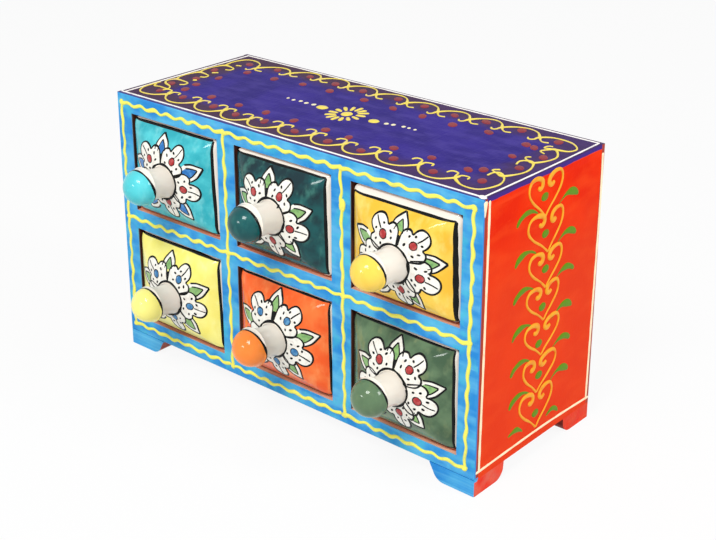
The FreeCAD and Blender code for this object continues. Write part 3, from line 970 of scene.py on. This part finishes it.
def paint_drawer(name, look):
    face = Face(name)
    seed = 100 + drawer_names.index(name)
    short = name.removesuffix("_drawer")
    slip = Painter(short + "_slip", face, white_slip, name, seed, 0.6)
    lines = Painter(short + "_black_lines", face, black_line, name, seed + 10, 0.5)
    spot_glaze = red_spot if look.dots == "red" else blue_spot
    leaf_glaze = leaf_green if look.leaf == "green" else leaf_blue
    spots = Painter(short + "_flower_hearts", face, spot_glaze, name, seed + 20)
    leaves = Painter(short + "_leaf_hearts", face, leaf_glaze, name, seed + 30)
    dice = random.Random(seed + 40)
    half_width, half_height = face_of(name)[2:]
    x0, x1 = look.left - half_width, half_width - look.right
    z0, z1 = look.bottom - half_height, half_height - look.top
    neck = Vector((0.0, look.knob_lift + 0.25))
    thin, thick = 0.9, 1.1
    flat, raised = 0.24, 0.3

    def around(centre, axis):
        """A way to place points that are given along an axis and across it from a spot beside the neck."""
        out = heading_of(axis)
        across = Vector((-out.y, out.x))

        def place(points):
            places = []
            for a, b in points:
                spot = Vector(centre) + out * a + across * b
                spot.x = min(max(spot.x, x0 + line_room), x1 - line_room)
                spot.y = min(max(spot.y, z0 + line_room), z1 - line_room)
                beside = spot - neck
                places.append(neck + beside * max(neck_root_radius / beside.length, 1.0))
            return places

        return place

    def mirrored(points):
        return tuple((a, -b) for a, b in reversed(points))

    for tip, flower, following in zip(look.tips, look.flowers, look.flowers[1:] + look.flowers[:1]):
        reach = Vector(tip).length
        place = around((0.0, 0.0), math.atan2(tip[1], tip[0]))
        edge = ((14.5, 3.4), (reach * 0.66, 4.9), (reach * 0.8, 4.1), (reach * 0.9, 2.3), (reach, 0.0))
        heart = ((14.5, 1.8), (reach - 9.4, 2.8), (reach - 7.4, 2.3), (reach - 5.2, 1.2), (reach - 3.4, 0.0))
        for painter, outline, height in ((slip, edge, 0.04), (leaves, heart, 0.08)):
            whole = curve_through(place(outline))[:-1] + curve_through(place(mirrored(outline)))[:-1]
            painter.patch(whole, place(((18.6, 0.0),))[0], flat_coat(height))
        for outline, across in ((edge, thick), (heart, thin)):
            lines.stroke(place(outline[1:]), across, flat)
            lines.stroke(place(mirrored(outline[1:])), across, flat)
        sides = [(Vector(spot[:2]) - neck).normalized() for spot in (flower, following)]
        between = (sides[0] + sides[1]).normalized()
        gap = [(*(neck + between * away), 1.0) for away in (9.9, 12.5, 15.6)]
        lines.stroke(gap, 3.4, 0.12)
    for u, v, axis in look.flowers:
        size = dice.uniform(0.97, 1.03)
        place = around((u, v), math.radians(axis))
        shapes = (side_lobe, outer_lobe, mirrored(side_lobe))
        lobes = [[(a * size, b * size) for a, b in shape] for shape in shapes]
        whole = []
        for lobe in lobes + [root_lobe]:
            whole += curve_through(place(lobe))[:-1]
        middle = Vector((u, v))
        slip.patch(whole, place(((0.6, 0.0),))[0], flat_coat(0.12))
        for lobe in lobes:
            lines.stroke(place(lobe), thick, raised)
        crease = ((2.6, 0.0), (6.0, dice.uniform(-0.4, 0.4)), (9.4, dice.uniform(-0.4, 0.4)))
        lines.stroke(place(crease), thin, raised)
        turn = axis + dice.uniform(-20.0, 20.0)
        lines.dome(middle, 6.5 * size, 5.9 * size, turn, 0.3)
        spots.dome(middle, 4.8 * size, 4.3 * size, turn, 0.44)
        for angle in (34.0, 90.0, 140.0, -34.0, -90.0, -140.0):
            bearing = math.radians(angle + dice.uniform(-8.0, 8.0))
            away = dice.uniform(4.4, 5.2)
            spot = place(((math.cos(bearing) * away, math.sin(bearing) * away),))[0]
            length, across = dice.uniform(1.7, 2.4), dice.uniform(1.25, 1.6)
            lines.dome(spot, length, across, dice.uniform(0.0, 180.0), 0.36, 10)
    corners = ((x0, z0), (x0, z1), (x1 - lean, z1), (x1 + lean, z0))
    for k, across in enumerate((1.0, look.top_line, look.right_line, 0.9)):
        start, end = Vector(corners[k]), Vector(corners[(k + 1) % 4])
        points = []
        for step in range(5):
            spot = start.lerp(end, step / 4.0)
            sway = dice.uniform(-0.15, 0.15)
            points.append((spot.x + sway, spot.y - sway, dice.uniform(0.9, 1.1) if 0 < step < 4 else 0.85))
        lines.stroke(points, across, flat, 0.03)
    ring = []
    for k in range(ring_steps + 2):
        spot = neck + heading_of(math.tau * k / ring_steps) * neck_root_radius
        ring.append((spot.x, spot.y, dice.uniform(0.85, 1.25)))
    lines.stroke(ring, 1.4, 0.3)
    for painter in (slip, lines, spots, leaves):
        painter.finish()
    knob = Painter(short + "_knob_line", Knob(name, look), black_line, name, seed + 50, 0.8)
    step = math.tau * look.ball_radius / ring_steps
    ring = [(step * k, look.cap_forward, dice.uniform(0.85, 1.15)) for k in range(ring_steps + 2)]
    knob.stroke(ring, 1.3, 0.22)
    knob.finish()


def dress(node, material):
    data = nodes[node].data
    data.materials.clear()
    data.materials.append(material)


bpy.context.scene.view_settings.view_transform = "Standard"
make_camera()
make_world(0.42)
make_floor(0.92)
area_light("front_lamp", (0.18, -0.60, 0.78), (0.42, 0.34), 9.2)
area_light("low_lamp", (-0.19, -0.91, 0.36), (0.34, 0.14), 2.7)
area_light("side_lamp", (0.80, 0.22, 0.56), (0.34, 0.38), 6.6)

yellow = paint_material("yellow", (246, 240, 104), (222, 220, 112))
vine_yellow = paint_material("vine_yellow", (238, 216, 96), (226, 200, 144))
white_paint = paint_material("white", (250, 246, 240), (214, 204, 208))
cream_paint = paint_material("cream", (255, 238, 200), (255, 206, 160))
golden_paint = paint_material("golden", (240, 168, 40), (228, 124, 34))
dot_paint = paint_material("dot", (238, 228, 190), (214, 196, 168))
crimson = paint_material("crimson", (134, 32, 44), (102, 28, 46))
leaf_paint = paint_material("leaf", (94, 140, 2), (132, 112, 4))
white_slip = ceramic_material("white_slip", (246, 245, 236), (234, 228, 218))
black_line = ceramic_material("black_line", (4, 8, 8), (14, 18, 18), 0.15)
red_spot = ceramic_material("red_spot", (172, 48, 50), (196, 92, 90))
blue_spot = ceramic_material("blue_spot", (52, 116, 172), (104, 164, 206))
leaf_green = ceramic_material("leaf_green", (142, 186, 116), (112, 160, 96))
leaf_blue = ceramic_material("leaf_blue", (40, 112, 184), (80, 146, 208))

for material, names in (
    (blue_material(), ("front_frame", "frame_pins")),
    (top_material(), ("top_panel", "top_nails")),
    (red_material(), ("left_side_panel", "right_side_panel", "side_nails")),
    (back_material(), ("back_panel", "back_pins")),
    (wood_material("wood_across", along_x), ("bottom_panel", "shelf", "foot_nails")),
    (wood_material("wood_deep", along_z), ("left_divider", "right_divider")),
):
    for name in names:
        dress(name, material)
front_foot = foot_material("front_foot_paint", (224, 94, 74), (blue, blue_deep, blue_pale))
back_ahead = (152, 52, 40), (120, 40, 34), (176, 76, 56)
back_foot = foot_material("back_foot_paint", (222, 68, 34), back_ahead)
for side in ("left", "right"):
    dress(f"front_{side}_foot", front_foot)
    dress(f"back_{side}_foot", back_foot)

paint_front()
paint_vine()
paint_drops()
paint_daisy()
paint_borders()
paint_side("right", right_side, 71)
paint_side("left", left_side, 81)
for name in drawer_names:
    dress(name, glaze_material(name, looks[name]))
    paint_drawer(name, looks[name])
